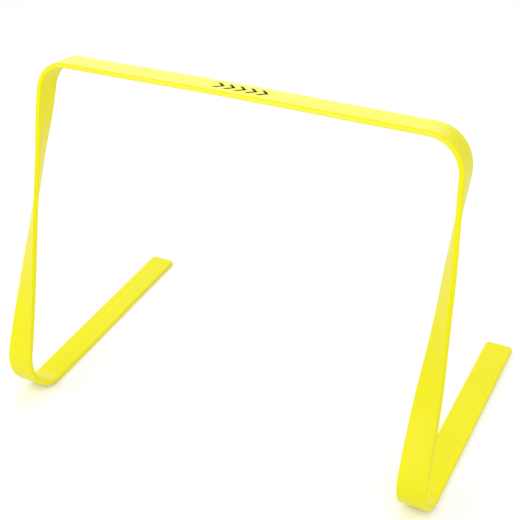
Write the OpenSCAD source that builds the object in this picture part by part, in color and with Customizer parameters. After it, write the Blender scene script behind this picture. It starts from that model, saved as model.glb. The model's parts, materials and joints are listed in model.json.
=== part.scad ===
// Agility hurdle: one flat plastic strip, heat formed into a bar, two legs that
// twist a quarter turn on their way down, and two flat feet that reach forward
// under the bar. Millimetres, +Z up, floor at Z = 0, bar along X, feet towards +Y.
// The strip is drawn as the sections between its tangent lines.

/* [Strip] */
// Width of the flat strip
strip_w = 32.5; // [24:0.5:42]
// Thickness of the strip
strip_t = 5.7; // [3:0.1:8]
// Radius of the strip's rounded long edges
edge_r = 1.2; // [0.4:0.1:1.4]

/* [Bar] */
// Distance between the legs' centrelines, at the bar
leg_spacing = 480; // [400:5:700]
// Height of the middle line of the bar's top face above the floor, at the bar's ends
bar_h = 380; // [300:5:500]
// Rise of the bar's middle above its ends
bar_rise = 1.3; // [0:0.1:5]
// Angle that the bar's top face is tipped back from level
bar_tip = 8.6; // [0:0.2:20]

/* [Left side] */
// Angle of the left leg from upright, towards -Y going down
left_lean = 25.1; // [15:0.2:35]
// Angle of the left leg outwards from upright, negative inwards
left_splay = -0.7; // [-5:0.1:5]
// Radius of the left top corner, at the middle of the strip's thickness
left_corner_r = 30.5; // [20:0.5:50]
// Radius of the left bend at the floor, at the middle of the strip's thickness
left_floor_r = 45.5; // [20:0.5:55]
// Length of the left foot, from the point where its line meets the leg's line
left_foot_reach = 335; // [200:1:400]
// Angle of the left foot from +Y towards +X
left_toe = 0.5; // [-5:0.1:5]
// Twist of the left leg at its top and at each quarter of its length
left_twist = [6, 26, 43, 65]; // [0:1:90]
// Sideways bulge of the left leg at mid length, along X
left_bow = 0.6; // [-5:0.1:5]

/* [Right side] */
// Angle of the right leg from upright, towards -Y going down
right_lean = 22.9; // [15:0.2:35]
// Angle of the right leg outwards from upright, negative inwards
right_splay = 1.1; // [-5:0.1:5]
// Radius of the right top corner, at the middle of the strip's thickness
right_corner_r = 39.5; // [20:0.5:50]
// Radius of the right bend at the floor, at the middle of the strip's thickness
right_floor_r = 38; // [20:0.5:55]
// Length of the right foot, from the point where its line meets the leg's line
right_foot_reach = 324; // [200:1:400]
// Angle of the right foot from +Y towards +X
right_toe = 1.1; // [-5:0.1:5]
// Twist of the right leg at its top and at each quarter of its length
right_twist = [2, 24, 40, 66]; // [0:1:90]
// Sideways bulge of the right leg at mid length, along X
right_bow = 1.9; // [-5:0.1:5]

/* [Foot ends] */
// Radius of the two corners at the free end of a foot
foot_corner_r = 3.5; // [1:0.5:10]

/* [Printed mark] */
// Number of chevrons printed on the bar
chevrons = 5; // [1:1:9]
// Distance from one chevron to the next, along the bar
chevron_pitch = 12.5; // [8:0.5:20]
// Size of a chevron across the bar
chevron_w = 15; // [6:0.5:22]
// Size of a chevron's stroke along the bar
chevron_stroke = 4; // [2:0.5:8]
// Thickness of the ink
ink_t = 0.1; // [0.05:0.05:0.3]

/* [Hidden] */

// Each side's dimensions, as pairs
LEFT = 0;
RIGHT = 1;
outward = [-1, 1];
lean = [left_lean, right_lean];
splay = [left_splay, right_splay];
corner_r = [left_corner_r, right_corner_r];
floor_r = [left_floor_r, right_floor_r];
foot_reach = [left_foot_reach, right_foot_reach];
toe = [left_toe, right_toe];
leg_twist = [left_twist, right_twist];
leg_bow = [left_bow, right_bow];

// Fineness of the swept sections
bar_steps = 24;
corner_steps = 24;
leg_steps = 44;
floor_steps = 28;
edge_steps = 3;

// Length of the floor bend over which the leg's twist runs out
twist_fade = 28;
// Clearance at the cut between two sections that move on their own
cut_gap = 0.02;

// Heights of the centrelines of the bar's ends and the feet
bar_z = bar_h - strip_t / 2;
foot_z = strip_t / 2;

function unit(v) = v / norm(v);

// v turned about a unit axis
function turned(v, axis, angle) =
    v * cos(angle) + cross(axis, v) * sin(angle) + axis * (axis * v) * (1 - cos(angle));

// Angle that turns a onto b, about a unit axis
function angle_about(a, b, axis) = atan2(cross(a, b) * axis, a * b);

// Where the strip's centreline runs on one side: out along the bar, down the leg,
// and forward along the foot
function out(side) = [outward[side], 0, 0];
function down(side) = unit([outward[side] * tan(splay[side]), -tan(lean[side]), -1]);
function forward(side) = [sin(toe[side]), cos(toe[side]), 0];
function corner_point(side) = [outward[side] * leg_spacing / 2, 0, bar_z];
function floor_point(side) =
    corner_point(side) + down(side) * (bar_z - foot_z) / -down(side)[2];

// A round bend from direction a to direction b, about the point where they meet
function bend_angle(a, b) = acos(a * b);
function bend_setback(a, b, r) = r * tan(bend_angle(a, b) / 2);
function bend_inward(a, b) = unit(b - a * (a * b));
function bend_centre(a, b, r, meet) = meet - a * bend_setback(a, b, r) + bend_inward(a, b) * r;
function bend_point(a, b, r, meet, angle) =
    bend_centre(a, b, r, meet) - bend_inward(a, b) * r * cos(angle) + a * r * sin(angle);
function bend_travel(a, b, angle) = a * cos(angle) + bend_inward(a, b) * sin(angle);

function corner_angle(side) = bend_angle(out(side), down(side));
function floor_angle(side) = bend_angle(down(side), forward(side));
function corner_setback(side) = bend_setback(out(side), down(side), corner_r[side]);
function floor_setback(side) = bend_setback(down(side), forward(side), floor_r[side]);
function leg_top(side) = corner_point(side) + down(side) * corner_setback(side);
function leg_end(side) = floor_point(side) - down(side) * floor_setback(side);
function foot_start(side) = floor_point(side) + forward(side) * floor_setback(side);
function foot_length(side) = foot_reach[side] - floor_setback(side);

// The bar, from one corner to the other, and its slight upward arch
bar_start = corner_setback(LEFT) - leg_spacing / 2;
bar_end = leg_spacing / 2 - corner_setback(RIGHT);
function bar_share(x) = (x - bar_start) / (bar_end - bar_start);
function bar_centre(x) = [x, 0, bar_z + bar_rise * sin(180 * bar_share(x)) ^ 2];
function bar_slope(x) = atan(bar_rise * sin(360 * bar_share(x)) * PI / (bar_end - bar_start));

// Directions across the strip: on the bar, along each bend's own axis, and on the foot
bar_across = [0, cos(bar_tip), -sin(bar_tip)];
function corner_across(side) = unit(cross([1, 0, 0], down(side)));
function floor_across(side) = unit(cross(forward(side), down(side)));
function foot_across(side) = cross([0, 0, 1], forward(side));

// The strip's turn about its own line, from corner_across, against the length run
// from the start of the corner. Stations are at the corner's two ends, the leg's
// quarters, the leg's end and the place in the floor bend where the twist is over.
function corner_run(side) = corner_r[side] * corner_angle(side) * PI / 180;
function leg_run(side) = norm(leg_end(side) - leg_top(side));
function full_twist(side) = angle_about(corner_across(side), floor_across(side), down(side));
function last_rate(side) =
    (full_twist(side) + leg_twist[side][3]) / (leg_run(side) / 4 + twist_fade / 2);
function twist_runs(side) = [
    0,
    for (quarter = [0:4]) corner_run(side) + leg_run(side) * quarter / 4,
    corner_run(side) + leg_run(side) + twist_fade
];
function twist_angles(side) = [
    angle_about(corner_across(side), bar_across, out(side)),
    for (quarter = [0:3]) -leg_twist[side][quarter],
    full_twist(side) - last_rate(side) * twist_fade / 2,
    full_twist(side)
];
function slope_between(x, y, i) = (y[i + 1] - y[i]) / (x[i + 1] - x[i]);
function slope_at(x, y, i) =
    i == 0 || i == len(x) - 1 ? 0
    : (slope_between(x, y, i - 1) * (x[i + 1] - x[i]) + slope_between(x, y, i) * (x[i] - x[i - 1]))
      / (x[i + 1] - x[i - 1]);

// Smooth cubic curve through the stations (x, y), level at both ends
function smooth_curve(x, y, at) =
    at <= x[0] ? y[0]
    : at >= x[len(x) - 1] ? y[len(y) - 1]
    : let (
        i = max([for (k = [0:len(x) - 2]) if (at >= x[k]) k]),
        h = x[i + 1] - x[i],
        t = (at - x[i]) / h
    )
    y[i] * (2 * t ^ 3 - 3 * t ^ 2 + 1) + slope_at(x, y, i) * h * (t ^ 3 - 2 * t ^ 2 + t)
    + y[i + 1] * (3 * t ^ 2 - 2 * t ^ 3) + slope_at(x, y, i + 1) * h * (t ^ 3 - t ^ 2);
function twist(side, run) = smooth_curve(twist_runs(side), twist_angles(side), run);

// The small turn, eased over the floor bend, that lays the foot flat on the floor
function levelling(side) = angle_about(floor_across(side), foot_across(side), forward(side));
function ease(t) = t * t * (3 - 2 * t);

// Outline of the strip's cross-section, with rounded corners
edge_x = strip_w / 2 - edge_r;
edge_y = strip_t / 2 - edge_r;
outline = [
    for (corner = [[1, 1, 0], [-1, 1, 90], [-1, -1, 180], [1, -1, 270]], k = [0:edge_steps])
        let (angle = corner[2] + 90 * k / edge_steps)
        [corner[0] * edge_x + edge_r * cos(angle), corner[1] * edge_y + edge_r * sin(angle)]
];

// One cross-section of the strip, as points in space
function ring(centre, travel, across) =
    let (through = cross(across, travel))
    [for (p = outline) centre + across * p[0] + through * p[1]];

function bar_ring(x) = ring(bar_centre(x), [1, 0, 0], bar_across);

function corner_ring(side, share) =
    let (
        angle = share * corner_angle(side),
        travel = bend_travel(out(side), down(side), angle),
        centre = bend_point(out(side), down(side), corner_r[side], corner_point(side), angle)
    )
    ring(centre, travel, turned(corner_across(side), travel, twist(side, share * corner_run(side))));

function leg_ring(side, share) =
    let (
        centre = leg_top(side) + (leg_end(side) - leg_top(side)) * share
            + [leg_bow[side] * sin(180 * share) ^ 2, 0, 0],
        run = corner_run(side) + leg_run(side) * share
    )
    ring(centre, down(side), turned(corner_across(side), down(side), twist(side, run)));

function floor_ring(side, share) =
    let (
        angle = share * floor_angle(side),
        travel = bend_travel(down(side), forward(side), angle),
        centre = bend_point(down(side), forward(side), floor_r[side], floor_point(side), angle),
        run = corner_run(side) + leg_run(side) + floor_r[side] * angle * PI / 180,
        turn = twist(side, run) - full_twist(side) + levelling(side) * ease(share)
    )
    ring(centre, travel, turned(floor_across(side), travel, turn));

function foot_ring(side, run) =
    ring(foot_start(side) + forward(side) * run, forward(side), foot_across(side));

// The rings of each swept section
bar_rings =
    [for (i = [0:bar_steps]) bar_ring(bar_start + (bar_end - bar_start) * i / bar_steps)];
function corner_rings(side) = [for (i = [0:corner_steps]) corner_ring(side, i / corner_steps)];
function floor_rings(side) = [for (i = [0:floor_steps]) floor_ring(side, i / floor_steps)];
function leg_rings(side) =
    let (gap = cut_gap / leg_run(side))
    [for (i = [0:leg_steps]) leg_ring(side, gap + (1 - 2 * gap) * i / leg_steps)];

// Slides the hurdle so that the middle of its box is over the origin
extent_points = [
    for (side = [LEFT, RIGHT])
        each [
            for (section = [corner_rings(side), leg_rings(side), floor_rings(side)], r = section)
                each r,
            each foot_ring(side, foot_length(side))
        ]
];
function middle(i) =
    (min([for (p = extent_points) p[i]]) + max([for (p = extent_points) p[i]])) / 2;
to_origin = [-middle(0), -middle(1), 0];

// A closed solid through a list of rings
module sweep(rings) {
    n = len(outline);
    last = (len(rings) - 1) * n;
    polyhedron(
        points = [for (r = rings) each r],
        faces = [
            [for (k = [0:n - 1]) k],
            [for (k = [n - 1:-1:0]) last + k],
            for (i = [0:len(rings) - 2], k = [0:n - 1])
                let (a = i * n + k, b = i * n + (k + 1) % n)
                each [[a, a + n, b + n], [a, b + n, b]]
        ],
        convexity = 4
    );
}

module plastic() {
    color([0.96, 0.94, 0.1]) children();
}

module top_bar() {
    plastic() translate(to_origin) sweep(bar_rings);
}

module corner_bend(side) {
    plastic() translate(to_origin) sweep(corner_rings(side));
}

module leg(side) {
    plastic() translate(to_origin) sweep(leg_rings(side));
}

module floor_bend(side) {
    plastic() translate(to_origin) sweep(floor_rings(side));
}

// Plan of a foot, from its start at the origin along +Y
module foot_plan(side) {
    straight = foot_length(side) - foot_corner_r;
    inset = strip_w / 2 - foot_corner_r;
    translate([-strip_w / 2, 0]) square([strip_w, straight]);
    translate([-inset, 0]) square([2 * inset, foot_length(side)]);
    for (x = [-inset, inset]) translate([x, straight]) circle(r = foot_corner_r, $fn = 48);
}

module foot(side) {
    plastic() translate(to_origin + foot_start(side)) rotate([0, 0, -toe[side]]) intersection() {
        rotate([90, 0, 180]) linear_extrude(height = foot_length(side)) polygon(outline);
        translate([0, 0, -strip_t]) linear_extrude(height = 2 * strip_t) foot_plan(side);
    }
}

// A chevron that points along +X, with its middle at the origin
module chevron() {
    depth = chevron_w / 2;
    back = -(depth + chevron_stroke) / 2;
    polygon([
        [back, -chevron_w / 2],
        [back + chevron_stroke, -chevron_w / 2],
        [back + chevron_stroke + depth, 0],
        [back + chevron_stroke, chevron_w / 2],
        [back, chevron_w / 2],
        [back + depth, 0]
    ]);
}

// Sets its children on the bar's top face, at a distance from the bar's middle
module on_bar_top(x) {
    translate(bar_centre(x)) rotate([-bar_tip, 0, 0]) rotate([0, -bar_slope(x), 0])
        translate([0, 0, strip_t / 2]) children();
}

module printed_mark() {
    color([0.08, 0.08, 0.08]) translate(to_origin)
        for (i = [0:chevrons - 1])
            on_bar_top((i - (chevrons - 1) / 2) * chevron_pitch)
                linear_extrude(height = ink_t) chevron();
}

top_bar();
corner_bend(LEFT);  // left_corner_bend
corner_bend(RIGHT);  // right_corner_bend
leg(LEFT);  // left_leg
leg(RIGHT);  // right_leg
floor_bend(LEFT);  // left_floor_bend
floor_bend(RIGHT);  // right_floor_bend
foot(LEFT);  // left_foot
foot(RIGHT);  // right_foot
printed_mark();
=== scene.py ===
"""Agility hurdle, looks.

The hurdle is one flat strip of yellow plastic. It is drawn here as one unbroken row of
cross-sections, from the free end of the left foot over the bar to the free end of the right
foot, and then parted where the CAD sections meet. Neighbouring pieces share the section at
their cut and its surface normals, so the cuts don't show.
Metres and degrees, in the CAD frame: +Z up, bar along X, feet towards +Y.
"""

import json
from collections import namedtuple
from math import acos, atan2, cos, degrees, pi, radians, sin, tan

import bmesh
import bpy
import numpy as np
from mathutils import Matrix, Vector


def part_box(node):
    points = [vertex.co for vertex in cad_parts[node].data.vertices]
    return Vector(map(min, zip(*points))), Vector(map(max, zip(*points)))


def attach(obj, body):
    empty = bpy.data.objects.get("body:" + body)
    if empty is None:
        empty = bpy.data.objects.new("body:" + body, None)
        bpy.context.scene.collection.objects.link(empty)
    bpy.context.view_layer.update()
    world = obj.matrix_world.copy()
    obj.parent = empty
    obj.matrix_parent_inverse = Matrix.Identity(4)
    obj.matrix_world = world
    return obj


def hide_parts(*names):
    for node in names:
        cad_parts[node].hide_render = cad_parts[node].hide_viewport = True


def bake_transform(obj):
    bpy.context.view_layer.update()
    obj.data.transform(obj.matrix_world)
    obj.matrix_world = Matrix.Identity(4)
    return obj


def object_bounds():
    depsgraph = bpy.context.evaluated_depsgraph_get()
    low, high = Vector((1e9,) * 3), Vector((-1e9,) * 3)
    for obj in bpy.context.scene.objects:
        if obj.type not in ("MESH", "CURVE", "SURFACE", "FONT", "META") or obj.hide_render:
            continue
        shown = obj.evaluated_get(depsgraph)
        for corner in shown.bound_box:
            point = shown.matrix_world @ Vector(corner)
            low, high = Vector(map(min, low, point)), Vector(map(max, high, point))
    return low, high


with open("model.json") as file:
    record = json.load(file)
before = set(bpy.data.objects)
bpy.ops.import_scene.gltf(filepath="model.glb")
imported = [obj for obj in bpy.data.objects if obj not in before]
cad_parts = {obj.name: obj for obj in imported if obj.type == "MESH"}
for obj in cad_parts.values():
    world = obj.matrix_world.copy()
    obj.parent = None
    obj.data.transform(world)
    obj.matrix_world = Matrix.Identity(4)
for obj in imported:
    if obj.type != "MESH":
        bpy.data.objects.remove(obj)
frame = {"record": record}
cad_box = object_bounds()

MM = 0.001

# The strip's cross-section
STRIP_W = 32.5 * MM
STRIP_T = 5.7 * MM
EDGE_R = 1.2 * MM

# The bar's height at its ends, the rise of its middle above them, and the angle by which its top
# face is tipped back
BAR_H = 380 * MM
BAR_RISE = 1.3 * MM
BAR_TIP = 8.6

# The free end of a foot: its two corners in plan, and the softened rim of the cut
FOOT_CORNER_R = 3.5 * MM
FOOT_RIM_R = 0.6 * MM

# Length of the floor bend over which a leg's twist runs out
TWIST_FADE = 28 * MM

# One side of the hurdle: which way it lies, the leg's angles, the bends' radii, the foot's reach and
# angle in plan, the leg's twist at its top and after each of its first three quarters, and how far
# the middle of the leg bows towards +X
Side = namedtuple("Side", "outward lean splay corner_r floor_r foot_reach toe leg_twist leg_bow")
LEFT = Side(
    outward=-1,
    lean=25.1,
    splay=-0.7,
    corner_r=30.5 * MM,
    floor_r=45.5 * MM,
    foot_reach=335 * MM,
    toe=0.5,
    leg_twist=(6, 26, 43, 65),
    leg_bow=0.6 * MM,
)
RIGHT = Side(
    outward=1,
    lean=22.9,
    splay=1.1,
    corner_r=39.5 * MM,
    floor_r=38 * MM,
    foot_reach=324 * MM,
    toe=1.1,
    leg_twist=(2, 24, 40, 66),
    leg_bow=1.9 * MM,
)

# How far the box of a rebuilt section may differ from that of the CAD section it stands for
BOX_TOLERANCE = 0.4 * MM


# ---------------------------------------------------------------------------- vectors


def unit(v):
    return np.asarray(v, float) / np.linalg.norm(v)


def turned(v, axis, angle):
    """v turned about a unit axis, by degrees."""
    c, s = cos(radians(angle)), sin(radians(angle))
    return v * c + np.cross(axis, v) * s + axis * (axis @ v) * (1 - c)


def angle_about(a, b, axis):
    """Degrees that turn a onto b, about a unit axis."""
    return degrees(atan2(np.cross(a, b) @ axis, a @ b))


def ease(t):
    return t * t * (3 - 2 * t)


def smooth_curve(x, y, at):
    """Smooth cubic curve through the points (x, y), level at both ends."""
    if at <= x[0]:
        return y[0]
    if at >= x[-1]:
        return y[-1]
    steps = np.diff(x)
    rises = np.diff(y) / steps
    slopes = np.zeros(len(x))
    slopes[1:-1] = (rises[:-1] * steps[1:] + rises[1:] * steps[:-1]) / (steps[1:] + steps[:-1])
    i = max(k for k in range(len(x) - 1) if at >= x[k])
    t = (at - x[i]) / steps[i]
    return (
        y[i] * (2 * t**3 - 3 * t**2 + 1)
        + slopes[i] * steps[i] * (t**3 - 2 * t**2 + t)
        + y[i + 1] * (3 * t**2 - 2 * t**3)
        + slopes[i + 1] * steps[i] * (t**3 - t**2)
    )


class Bend:
    """A round bend from direction a to direction b, about the point where they meet."""

    def __init__(self, a, b, radius, meet):
        self.a = a
        self.radius = radius
        self.angle = degrees(acos(a @ b))
        self.setback = radius * tan(radians(self.angle) / 2)
        self.length = radius * radians(self.angle)
        self.inward = unit(b - a * (a @ b))
        self.centre = meet - a * self.setback + self.inward * radius

    def travel(self, angle):
        return self.a * cos(radians(angle)) + self.inward * sin(radians(angle))

    def towards_centre(self, angle):
        return self.inward * cos(radians(angle)) - self.a * sin(radians(angle))

    def point(self, angle):
        return self.centre - self.towards_centre(angle) * self.radius


# ---------------------------------------------------------------------------- the strip's line

# A place on the strip's line: its centre, the direction of travel, the direction across the
# strip, the length run so far, the curvature as a vector towards the bend's centre, and the
# distance left to the foot's free end
Station = namedtuple("Station", "centre travel across run curvature to_tip")

# The curvature of a straight stretch, and a distance to the free end that is past any rounding
STRAIGHT = np.zeros(3)
FAR = 1.0

TOWARDS_X = np.array([1.0, 0, 0])
BAR_ACROSS = np.array([0, cos(radians(BAR_TIP)), -sin(radians(BAR_TIP))])

bar_low, bar_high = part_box("top_bar")
BAR_Y = (bar_low.y + bar_high.y) / 2
BAR_Z = BAR_H - STRIP_T / 2
FOOT_Z = STRIP_T / 2

# Steps along each section
CORNER_STEPS = 40
LEG_STEPS = 150
FLOOR_STEPS = 48
FOOT_STEPS = 40
TIP_STEPS = 14
BAR_STEPS = 60


def bar_point(x):
    """The point of the bar's slightly arched centreline at an X."""
    share = (x - bar_low.x) / (bar_high.x - bar_low.x)
    return np.array([x, BAR_Y, BAR_Z + BAR_RISE * sin(pi * share) ** 2])


def side_sections(side):
    """Stations of one side's four sections, from the bar's end to the foot's free end. Their runs
    count from the bar's end."""
    outward = side.outward * TOWARDS_X
    lean, splay = tan(radians(side.lean)), tan(radians(side.splay))
    down = unit([side.outward * splay, -lean, -1])
    forward = np.array([sin(radians(side.toe)), cos(radians(side.toe)), 0])

    # The bar's end is the CAD bar's, and everything else follows from it
    bar_end = np.array([bar_low.x if side is LEFT else bar_high.x, BAR_Y, BAR_Z])
    setback = Bend(outward, down, side.corner_r, bar_end).setback
    corner_meet = bar_end + outward * setback
    floor_meet = corner_meet + down * (BAR_Z - FOOT_Z) / -down[2]
    corner = Bend(outward, down, side.corner_r, corner_meet)
    floor = Bend(down, forward, side.floor_r, floor_meet)
    leg_top = corner_meet + down * corner.setback
    leg_end = floor_meet - down * floor.setback
    leg_length = np.linalg.norm(leg_end - leg_top)
    foot_start = floor_meet + forward * floor.setback
    foot_length = side.foot_reach - floor.setback

    corner_across = unit(np.cross(TOWARDS_X, down))
    floor_across = unit(np.cross(forward, down))
    foot_across = np.cross([0, 0, 1], forward)

    # How far the strip has turned about its own line, from corner_across, at each of these runs
    full_twist = angle_about(corner_across, floor_across, down)
    last_rate = (full_twist + side.leg_twist[3]) / (leg_length / 4 + TWIST_FADE / 2)
    leg_from, leg_to = corner.length, corner.length + leg_length
    runs = np.array([0, *np.linspace(leg_from, leg_to, 5), leg_to + TWIST_FADE])
    turns = np.array(
        [
            angle_about(corner_across, BAR_ACROSS, outward),
            *(-turn for turn in side.leg_twist),
            full_twist - last_rate * TWIST_FADE / 2,
            full_twist,
        ]
    )
    levelling = angle_about(floor_across, foot_across, forward)

    def corner_station(share):
        angle = share * corner.angle
        run = share * corner.length
        travel = corner.travel(angle)
        across = turned(corner_across, travel, smooth_curve(runs, turns, run))
        curvature = corner.towards_centre(angle) / corner.radius
        return Station(corner.point(angle), travel, across, run, curvature, FAR)

    def leg_station(share):
        run = leg_from + share * leg_length
        bow = side.leg_bow * sin(pi * share) ** 2
        centre = leg_top + (leg_end - leg_top) * share + TOWARDS_X * bow
        across = turned(corner_across, down, smooth_curve(runs, turns, run))
        return Station(centre, down, across, run, STRAIGHT, FAR)

    def floor_station(share):
        angle = share * floor.angle
        run = leg_to + share * floor.length
        travel = floor.travel(angle)
        turn = smooth_curve(runs, turns, run) - full_twist + levelling * ease(share)
        across = turned(floor_across, travel, turn)
        curvature = floor.towards_centre(angle) / floor.radius
        return Station(floor.point(angle), travel, across, run, curvature, FAR)

    def foot_station(length):
        run = leg_to + floor.length + length
        centre = foot_start + forward * length
        return Station(centre, forward, foot_across, run, STRAIGHT, foot_length - length)

    # Closer and closer stations round the foot's end corners
    corner_from = foot_length - FOOT_CORNER_R
    lengths = [
        *np.linspace(0, corner_from, FOOT_STEPS),
        *(
            corner_from + FOOT_CORNER_R * sin(pi / 2 * k / TIP_STEPS)
            for k in range(1, TIP_STEPS + 1)
        ),
    ]
    return {
        "corner_bend": [corner_station(share) for share in np.linspace(0, 1, CORNER_STEPS + 1)],
        "leg": [leg_station(share) for share in np.linspace(0, 1, LEG_STEPS + 1)],
        "floor_bend": [floor_station(share) for share in np.linspace(0, 1, FLOOR_STEPS + 1)],
        "foot": [foot_station(length) for length in lengths],
    }


def whole_line():
    """Every station from the left foot's free end to the right foot's, travelling towards +X on
    the bar, and each section's first and last station in that row. Their runs count from the
    bar's middle."""
    half = (bar_high.x - bar_low.x) / 2
    middle_x = (bar_high.x + bar_low.x) / 2
    stations, spans = [], {}

    def add(name, section):
        first = max(len(stations) - 1, 0)
        stations.extend(section[1:] if stations else section)
        spans[name] = (first, len(stations) - 1)

    for part, section in reversed(side_sections(LEFT).items()):
        back = [s._replace(travel=-s.travel, run=-half - s.run) for s in reversed(section)]
        add(f"left_{part}", back)
    bar = []
    for x in np.linspace(-half, half, BAR_STEPS + 1):
        centre = bar_point(middle_x + x)
        bar.append(Station(centre, TOWARDS_X, BAR_ACROSS, x, STRAIGHT, FAR))
    add("top_bar", bar)
    for part, section in side_sections(RIGHT).items():
        add(f"right_{part}", [s._replace(run=half + s.run) for s in section])
    return stations, spans


# ---------------------------------------------------------------------------- the strip's surface

# Steps round each rounded edge of the cross-section, along each face and along each narrow side
EDGE_STEPS = 6
FACE_STEPS = 8
SIDE_STEPS = 2

# Height above the floor at which the marks of resting on it have faded out
REST_FADE = 1.5 * MM


def outline(half_w, half_t):
    """The cross-section's points and outward directions, in order round it."""
    points, normals = [], []

    # A rounded edge from this angle on, in this corner, and the flat that follows it
    edges_and_flats = (
        (0, (1, 1), (-1, 0), half_w, FACE_STEPS),
        (90, (-1, 1), (0, -1), half_t, SIDE_STEPS),
        (180, (-1, -1), (1, 0), half_w, FACE_STEPS),
        (270, (1, -1), (0, 1), half_t, SIDE_STEPS),
    )
    for start, corner, along, half_side, steps in edges_and_flats:
        centre = np.array(corner) * (half_w - EDGE_R, half_t - EDGE_R)
        for k in range(EDGE_STEPS + 1):
            angle = radians(start + 90 * k / EDGE_STEPS)
            normals.append(np.array([cos(angle), sin(angle)]))
            points.append(centre + EDGE_R * normals[-1])
        length = 2 * (half_side - EDGE_R)
        last = points[-1]
        for k in range(1, steps):
            normals.append(normals[-1])
            points.append(last + np.array(along) * length * k / steps)
    return np.array(points), np.array(normals)


def round_off(radius, to_tip):
    """How far a rounding of that radius has drawn in, at a distance from the tip."""
    if to_tip >= radius:
        return 0.0
    return radius - np.sqrt(radius**2 - (radius - to_tip) ** 2)


def strip_surface(stations):
    """Points, outward normals, places in the straight strip, stretch, and how nearly each point
    rests on the floor, all of them as [station, point round the section]."""
    points, around, places, stretch = [], [], [], []
    for s in stations:
        rim = round_off(FOOT_RIM_R, s.to_tip)
        plan = round_off(FOOT_CORNER_R, s.to_tip)
        section, normals = outline(STRIP_W / 2 - plan - rim, STRIP_T / 2 - rim)
        through = np.cross(s.across, s.travel)
        offsets = np.outer(section[:, 0], s.across) + np.outer(section[:, 1], through)
        points.append(s.centre + offsets)
        around.append(np.outer(-normals[:, 1], s.across) + np.outer(normals[:, 0], through))
        places.append(np.column_stack([np.full(len(section), s.run), section]))
        stretch.append(-offsets @ s.curvature)
    points = np.array(points)
    along = np.gradient(points, np.array([s.run for s in stations]), axis=0)
    normals = np.cross(along, np.array(around))
    normals /= np.linalg.norm(normals, axis=2, keepdims=True)
    rest = np.clip(1 - points[:, :, 2] / REST_FADE, 0, 1)
    return points, normals, np.array(places), np.array(stretch), rest


def new_object(name, mesh):
    obj = bpy.data.objects.new(name, mesh)
    bpy.context.scene.collection.objects.link(obj)
    return obj


def set_attribute(mesh, name, kind, values):
    field = "vector" if kind == "FLOAT_VECTOR" else "value"
    attribute = mesh.attributes.new(name, kind, "POINT")
    attribute.data.foreach_set(field, np.asarray(values, np.float32).ravel())


def strip_piece(name, surface, stations, span):
    """A closed piece of the strip, from its first station to its last."""
    first, last = span
    points, normals, places, stretch, rest = (values[first : last + 1] for values in surface)
    rings, n = points.shape[:2]
    faces = [list(range(n))]
    corner_normals = [-stations[first].travel] * n
    flat_normals = normals.reshape(-1, 3)
    for i in range(rings - 1):
        for k in range(n):
            a, b = i * n + k, i * n + (k + 1) % n
            face = [a, a + n, b + n, b]
            faces.append(face)
            corner_normals.extend(flat_normals[face])
    faces.append([(rings - 1) * n + k for k in reversed(range(n))])
    corner_normals.extend([stations[last].travel] * n)

    mesh = bpy.data.meshes.new(name)
    mesh.from_pydata(points.reshape(-1, 3).tolist(), [], faces)
    mesh.shade_smooth()
    mesh.normals_split_custom_set([tuple(v) for v in corner_normals])
    set_attribute(mesh, "place", "FLOAT_VECTOR", places)
    set_attribute(mesh, "stretch", "FLOAT", stretch)
    set_attribute(mesh, "rest", "FLOAT", rest)
    return new_object(name, mesh)


# ---------------------------------------------------------------------------- the printed mark

CHEVRONS = 5
CHEVRON_PITCH = 12.5 * MM
CHEVRON_W = 15 * MM
CHEVRON_STROKE = 4 * MM

# The ink's thickness, its rounded corners in plan, and its softened upper rim
INK_T = 0.1 * MM
INK_CORNER_R = 0.2 * MM
INK_CORNER_STEPS = 5
INK_RIM = 0.05 * MM


def rounded(corners, radius):
    """A closed outline with its corners rounded, in order round it."""
    points = []
    for i, corner in enumerate(corners):
        before = unit(corners[i - 1] - corner)
        after = unit(corners[(i + 1) % len(corners)] - corner)
        half = acos(np.clip(before @ after, -1, 1)) / 2
        centre = corner + unit(before + after) * radius / sin(half)
        start = corner + before * radius / tan(half) - centre
        end = corner + after * radius / tan(half) - centre
        sweep = atan2(start[0] * end[1] - start[1] * end[0], start @ end)
        for k in range(INK_CORNER_STEPS + 1):
            angle = sweep * k / INK_CORNER_STEPS
            c, s = cos(angle), sin(angle)
            turned_start = [c * start[0] - s * start[1], s * start[0] + c * start[1]]
            points.append(centre + turned_start)
    return np.array(points)


def chevron_outline():
    """A chevron that points along +X, with its middle at the origin, counterclockwise."""
    depth = CHEVRON_W / 2
    back = -(depth + CHEVRON_STROKE) / 2
    corners = [
        (back, -CHEVRON_W / 2),
        (back + CHEVRON_STROKE, -CHEVRON_W / 2),
        (back + CHEVRON_STROKE + depth, 0),
        (back + CHEVRON_STROKE, CHEVRON_W / 2),
        (back, CHEVRON_W / 2),
        (back + depth, 0),
    ]
    return rounded([np.array(c) for c in corners], INK_CORNER_R)


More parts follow.
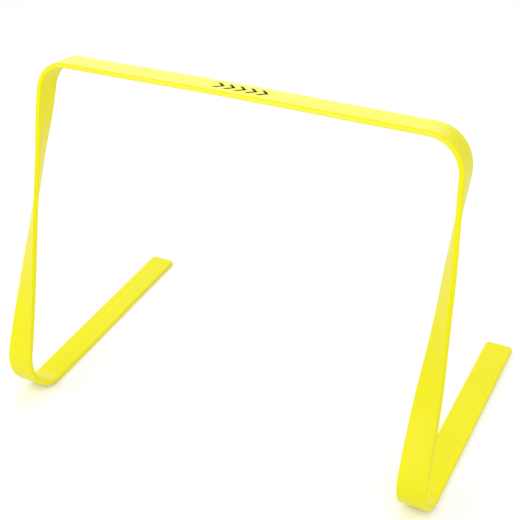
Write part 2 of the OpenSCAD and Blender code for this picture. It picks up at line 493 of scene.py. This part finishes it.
def ink_piece(name):
    """The printed chevrons: low plates of ink with softened rims, on the bar's top face."""
    shape = chevron_outline()
    following = np.roll(shape, -1, axis=0) - np.roll(shape, 1, axis=0)
    inward = np.column_stack([-following[:, 1], following[:, 0]])
    inward /= np.linalg.norm(inward, axis=1, keepdims=True)

    # Insets and heights of the plate's levels, from the bar's face up
    levels = ((0, 0), (0, INK_T - INK_RIM), (INK_RIM / 2, INK_T - INK_RIM / 4), (INK_RIM, INK_T))
    mesh = bmesh.new()
    for i in range(CHEVRONS):
        shift = np.array([(i - (CHEVRONS - 1) / 2) * CHEVRON_PITCH, 0])
        loops = []
        for inset, height in levels:
            plan = shape + inward * inset + shift
            loops.append([mesh.verts.new((x, y, STRIP_T / 2 + height)) for x, y in plan])
        mesh.faces.new(reversed(loops[0]))
        mesh.faces.new(loops[-1])
        for lower, upper in zip(loops, loops[1:]):
            for k in range(len(lower)):
                j = (k + 1) % len(lower)
                mesh.faces.new([lower[k], lower[j], upper[j], upper[k]])
    mesh.normal_update()
    bmesh.ops.triangulate(mesh, faces=[f for f in mesh.faces if len(f.verts) > 4])
    data = bpy.data.meshes.new(name)
    mesh.to_mesh(data)
    mesh.free()
    set_attribute(data, "place", "FLOAT_VECTOR", [v.co for v in data.vertices])
    tip = Matrix.Rotation(radians(-BAR_TIP), 4, "X")
    mark_low, mark_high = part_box("printed_mark")
    middle_x = (mark_low.x + mark_high.x) / 2
    for v in data.vertices:
        v.co = tip @ v.co + Vector(bar_point(middle_x + v.co.x)) - Vector((v.co.x, 0, 0))
    return new_object(name, data)


# ---------------------------------------------------------------------------- materials

# Sockets of the Mix node that carry colours; their names are shared with its other kinds
MIX_A = 6
MIX_B = 7
MIX_RESULT = 2


class Shading:
    """A material and the nodes that feed its shader. A method named after an operation or a
    pattern adds the nodes for it and returns their output."""

    def __init__(self, name, **values):
        self.material = bpy.data.materials.new(name)
        self.material.use_nodes = True
        self.tree = self.material.node_tree
        self.shader = self.tree.nodes["Principled BSDF"]
        for socket, value in values.items():
            self.feed(self.shader.inputs[socket.replace("_", " ")], value)

    def feed(self, socket, value):
        if isinstance(value, bpy.types.NodeSocket):
            self.tree.links.new(value, socket)
        else:
            socket.default_value = value

    def node(self, kind, inputs, **settings):
        node = self.tree.nodes.new(f"ShaderNode{kind}")
        for name, value in settings.items():
            setattr(node, name, value)
        for key, value in inputs.items():
            self.feed(node.inputs[key], value)
        return node

    def attribute(self, name, output):
        return self.node("Attribute", {}, attribute_name=name).outputs[output]

    def noise(self, place, size, detail=2.0, roughness=0.5, turn=0):
        """Noise with grains of this size on each axis, in metres, turned by degrees about Z."""
        mapping = {"Vector": place, "Scale": size, "Rotation": (0, 0, radians(turn))}
        vector = self.node("Mapping", mapping, vector_type="TEXTURE").outputs["Vector"]
        inputs = {"Vector": vector, "Scale": 1.0, "Detail": detail, "Roughness": roughness}
        return self.node("TexNoise", inputs).outputs["Fac"]

    def math(self, operation, a, b=0.0):
        return self.node("Math", {0: a, 1: b}, operation=operation).outputs[0]

    def remap(self, value, low, high, to_low=0.0, to_high=1.0):
        """value eased from to_low, at low, to to_high, at high."""
        inputs = {"Value": value, "From Min": low, "From Max": high}
        inputs.update({"To Min": to_low, "To Max": to_high})
        return self.node("MapRange", inputs, interpolation_type="SMOOTHSTEP").outputs["Result"]

    def mix(self, share, a, b):
        inputs = {"Factor": share, MIX_A: a, MIX_B: b}
        return self.node("Mix", inputs, data_type="RGBA").outputs[MIX_RESULT]

    def bump(self, height, distance, under=None):
        inputs = {"Height": height, "Distance": distance, "Strength": 1.0}
        if under is not None:
            inputs["Normal"] = under
        return self.node("Bump", inputs).outputs["Normal"]

    def finish(self, color, roughness, normal):
        self.feed(self.shader.inputs["Base Color"], color)
        self.feed(self.shader.inputs["Roughness"], roughness)
        self.feed(self.shader.inputs["Normal"], normal)
        return self.material


YELLOW = (0.795, 0.743, 0.0, 1)
YELLOW_DEEP = (0.775, 0.718, 0.0, 1)
YELLOW_PALE = (0.815, 0.78, 0.03, 1)
FLOOR_DIRT = (0.50, 0.46, 0.12, 1)
INK = (0.004, 0.004, 0.005, 1)
INK_WORN = (0.03, 0.028, 0.012, 1)
PAPER = (0.95, 0.95, 0.95, 1)
PAPER_SHADE = (0.9405, 0.9405, 0.9405, 1)

# How far in from the strip's edges they are rubbed pale
EDGE_WEAR_W = 1.6 * MM


def yellow_plastic():
    """Satin yellow plastic. Its detail is laid out in the straight strip's own measures, so it
    follows the strip round its bends: lines left along it by the forming, a faint orange peel,
    fine scratches, pale rubbed edges, whitening where a bend has stretched the outer face, and
    dull undersides where the feet rest on the floor."""
    s = Shading("yellow_plastic", IOR=1.45, Specular_IOR_Level=0.2)
    place = s.attribute("place", "Vector")
    stretch = s.attribute("stretch", "Fac")
    rest = s.attribute("rest", "Fac")

    # Sizes are along the strip, across it and through it
    clouds = s.noise(place, (0.11, 0.035, 0.035), detail=3)
    drawn_lines = s.noise(place, (0.16, 0.0012, 0.0012), detail=3)
    peel = s.noise(place, (0.0011, 0.0009, 0.0009))
    patches = s.noise(place, (0.028, 0.012, 0.012))
    nicks = s.noise(place, (0.006, 0.002, 0.002), detail=4, roughness=0.65)

    # Masks of the marks on the strip, from 0 where it has none to 1
    scratched = 0.0
    for turn, length in ((4, 0.045), (-9, 0.03), (31, 0.02)):
        lines = s.noise(place, (length, 0.00035, 0.02), detail=0, turn=turn)
        scratched = s.math("MAXIMUM", scratched, s.remap(lines, 0.69, 0.76))
    scratched = s.math("MULTIPLY", scratched, s.remap(patches, 0.45, 0.62))
    across = s.node("SeparateXYZ", {"Vector": place}).outputs["Y"]
    from_middle = s.math("ABSOLUTE", across)
    at_edge = s.remap(from_middle, STRIP_W / 2 - EDGE_WEAR_W, STRIP_W / 2 - 0.1 * MM)
    worn = s.math("MULTIPLY", at_edge, s.remap(nicks, 0.5, 0.68))
    whitened = s.math("MULTIPLY", s.remap(stretch, 0.02, 0.10), s.remap(patches, 0.2, 0.8, 0.4))
    rubbed = s.math("MULTIPLY", rest, s.remap(nicks, 0.35, 0.6, 0.35))

    color = s.mix(s.remap(clouds, 0.3, 0.7), YELLOW_DEEP, YELLOW)
    tints = (
        (drawn_lines, 0.10, YELLOW_PALE),
        (whitened, 0.22, YELLOW_PALE),
        (worn, 0.5, YELLOW_PALE),
        (rubbed, 0.35, FLOOR_DIRT),
    )
    for mask, strength, tint in tints:
        color = s.mix(s.math("MULTIPLY", mask, strength), color, tint)

    roughness = s.remap(clouds, 0.25, 0.75, 0.31, 0.39)
    for mask, added in ((scratched, 0.10), (worn, 0.12), (whitened, 0.10), (rubbed, 0.22)):
        roughness = s.math("ADD", roughness, s.math("MULTIPLY", mask, added))

    cuts = s.math("MULTIPLY", s.math("MAXIMUM", scratched, worn), -1.0)
    reliefs = (
        (patches, 0.06 * MM),
        (drawn_lines, 0.008 * MM),
        (peel, 0.006 * MM),
        (cuts, 0.01 * MM),
    )
    normal = None
    for height, depth in reliefs:
        normal = s.bump(height, depth, normal)
    return s.finish(color, roughness, normal)


def black_ink():
    """Pad-printed ink: nearly matt, a little thin in places, with a fine grain."""
    s = Shading("black_ink", IOR=1.45, Specular_IOR_Level=0.1)
    place = s.attribute("place", "Vector")
    thin = s.noise(place, (0.004, 0.004, 0.004), detail=4, roughness=0.7)
    grain = s.noise(place, (0.0004, 0.0004, 0.0004))
    color = s.mix(s.remap(thin, 0.5, 0.75), INK, INK_WORN)
    roughness = s.remap(grain, 0.3, 0.7, 0.68, 0.84)
    return s.finish(color, roughness, s.bump(grain, 0.01 * MM))


def pale_paper():
    """Matt paper for the floor, with faint fibres."""
    s = Shading("pale_floor", Roughness=0.9, Specular_IOR_Level=0.1)
    place = s.node("TexCoord", {}).outputs["Object"]
    fibres = s.noise(place, (0.002, 0.002, 0.002), detail=3)
    s.feed(s.shader.inputs["Base Color"], s.mix(s.remap(fibres, 0.3, 0.7), PAPER, PAPER_SHADE))
    return s.material


# ---------------------------------------------------------------------------- pieces


def check_against_cad(obj, node):
    """Stops the script if a rebuilt piece has strayed from the CAD node it stands for."""
    points = np.array([v.co for v in obj.data.vertices])
    low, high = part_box(node)
    astray = max(np.abs(points.min(0) - low).max(), np.abs(points.max(0) - high).max())
    print(f"{obj.name}: box within {astray / MM:.3f} mm of {node}")
    if astray > BOX_TOLERANCE:
        raise ValueError(f"{obj.name} is {astray / MM:.2f} mm off {node}")


def bend_across_joint(obj, points, first_body, second_body):
    """Bakes the bend's placement into its mesh."""
    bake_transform(obj)


# The body that each CAD node belongs to, and the bodies at the two ends of each bend, in the
# strip's order
bodies = frame["record"]["behaviour"]["bodies"]
BODY_OF = {node: body for body, members in bodies.items() for node in members}
BENDS = {
    "left_corner_bend": ("left_leg", "bar"),
    "right_corner_bend": ("bar", "right_leg"),
    "left_floor_bend": ("left_foot", "left_leg"),
    "right_floor_bend": ("right_leg", "right_foot"),
}

stations, spans = whole_line()
surface = strip_surface(stations)
plastic = yellow_plastic()
for node, span in spans.items():
    piece = strip_piece(f"{node}_plastic", surface, stations, span)
    piece.data.materials.append(plastic)
    check_against_cad(piece, node)
    if node in BENDS:
        bend_across_joint(piece, surface[0][span[0] : span[1] + 1], *BENDS[node])
    else:
        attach(piece, BODY_OF[node])
    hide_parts(node)

ink = ink_piece("printed_mark_ink")
ink.data.materials.append(black_ink())
check_against_cad(ink, "printed_mark")
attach(ink, "bar")
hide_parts("printed_mark")


# ---------------------------------------------------------------------------- stage, light, camera

# The floor: a square sheet, flat to a distance from its middle and then curving gently up, and the
# gap between it and the feet, which keeps their undersides clear of it
FLOOR_SIDE = 16.0
FLOOR_CELLS = 24
FLOOR_FLAT_TO = 4.8
FLOOR_CURVE = 0.02
FLOOR_GAP = 0.1 * MM

WORLD_RADIANCE = 0.75
PANEL_LIFT = 2 * MM

# The camera looks at this point, from this distance and bearing, with a slight roll. The lens and
# the sensor are in millimetres
AIM = Vector((0.0039, -0.0093, 0.1756))
DISTANCE = 1.1297
AZIMUTH = 28.536
ELEVATION = 35.018
ROLL = -3.029
LENS = 69.805
SENSOR_W = 36


def bearing(azimuth, elevation):
    """Unit vector from the object towards a viewer; azimuth 0 is on the -Y side."""
    a, e = radians(azimuth), radians(elevation)
    return Vector((sin(a) * cos(e), -cos(a) * cos(e), sin(e)))


def facing(position, target, roll=0.0):
    """Places something that looks along its own -Z at the target."""
    turn = (target - position).to_track_quat("-Z", "Y").to_matrix().to_4x4()
    return Matrix.Translation(position) @ turn @ Matrix.Rotation(radians(roll), 4, "Z")


def area_light(name, width, height, radiance, gloss_only):
    """A rectangular light, as bright as a surface of that radiance, that the camera can't see. One
    that is gloss_only shows in reflections and lights nothing else."""
    light = bpy.data.lights.new(name, "AREA")
    light.shape = "RECTANGLE"
    light.size, light.size_y = width, height
    light.energy = radiance * pi * width * height
    obj = new_object(name, light)
    obj.visible_camera = False
    obj.visible_diffuse = not gloss_only
    return obj


def softbox(name, azimuth, elevation, distance, width, height, radiance, gloss_only=False):
    """A large soft light aimed at the object."""
    obj = area_light(name, width, height, radiance, gloss_only)
    obj.matrix_world = facing(AIM + bearing(azimuth, elevation) * distance, AIM)


def floor_panel(name, azimuth, distance, width, length, radiance):
    """A light that lies on the floor, face up, in front of the object. The front edge of the bar
    mirrors it towards the camera."""
    obj = area_light(name, width, length, radiance, gloss_only=True)
    place = Matrix.Translation(bearing(azimuth, 0) * distance + Vector((0, 0, PANEL_LIFT)))
    turn = Matrix.Rotation(radians(azimuth), 4, "Z") @ Matrix.Rotation(pi, 4, "X")
    obj.matrix_world = place @ turn


def floor_sheet():
    """A large pale sheet that curves up very gently towards its rim."""
    mesh = bmesh.new()
    half = FLOOR_SIDE / 2
    bmesh.ops.create_grid(mesh, x_segments=FLOOR_CELLS, y_segments=FLOOR_CELLS, size=half)
    for v in mesh.verts:
        out = max(v.co.xy.length - FLOOR_FLAT_TO, 0)
        v.co.z = FLOOR_CURVE * out**2
    data = bpy.data.meshes.new("floor")
    mesh.to_mesh(data)
    mesh.free()
    data.shade_smooth()
    obj = new_object("floor", data)
    obj.location.z = cad_box[0].z - FLOOR_GAP
    obj.data.materials.append(pale_paper())
    return obj


floor_sheet()

world = bpy.data.worlds.new("studio")
world.use_nodes = True
background = world.node_tree.nodes["Background"]
background.inputs["Color"].default_value = (1, 1, 1, 1)
background.inputs["Strength"].default_value = WORLD_RADIANCE
bpy.context.scene.world = world

softbox(
    "front_left_softbox",
    azimuth=-45, elevation=38, distance=2.0, width=1.4, height=1.2, radiance=2.2,
)
softbox(
    "front_right_softbox",
    azimuth=50, elevation=48, distance=2.0, width=1.4, height=1.2, radiance=2.05,
)
softbox(
    "back_low_softbox",
    azimuth=202, elevation=14, distance=2.0, width=2.0, height=0.9, radiance=1.8, gloss_only=True,
)
softbox(
    "back_high_softbox",
    azimuth=200, elevation=44, distance=2.0, width=2.0, height=1.3, radiance=0.9,
)
floor_panel("floor_panel", azimuth=-21, distance=1.95, width=1.0, length=2.0, radiance=14)

camera = bpy.data.cameras.new("camera")
camera.lens = LENS
camera.sensor_width = SENSOR_W
camera_object = new_object("camera", camera)
camera_object.matrix_world = facing(AIM + bearing(AZIMUTH, ELEVATION) * DISTANCE, AIM, ROLL)
bpy.context.scene.camera = camera_object
bpy.context.scene.view_settings.view_transform = "Standard"
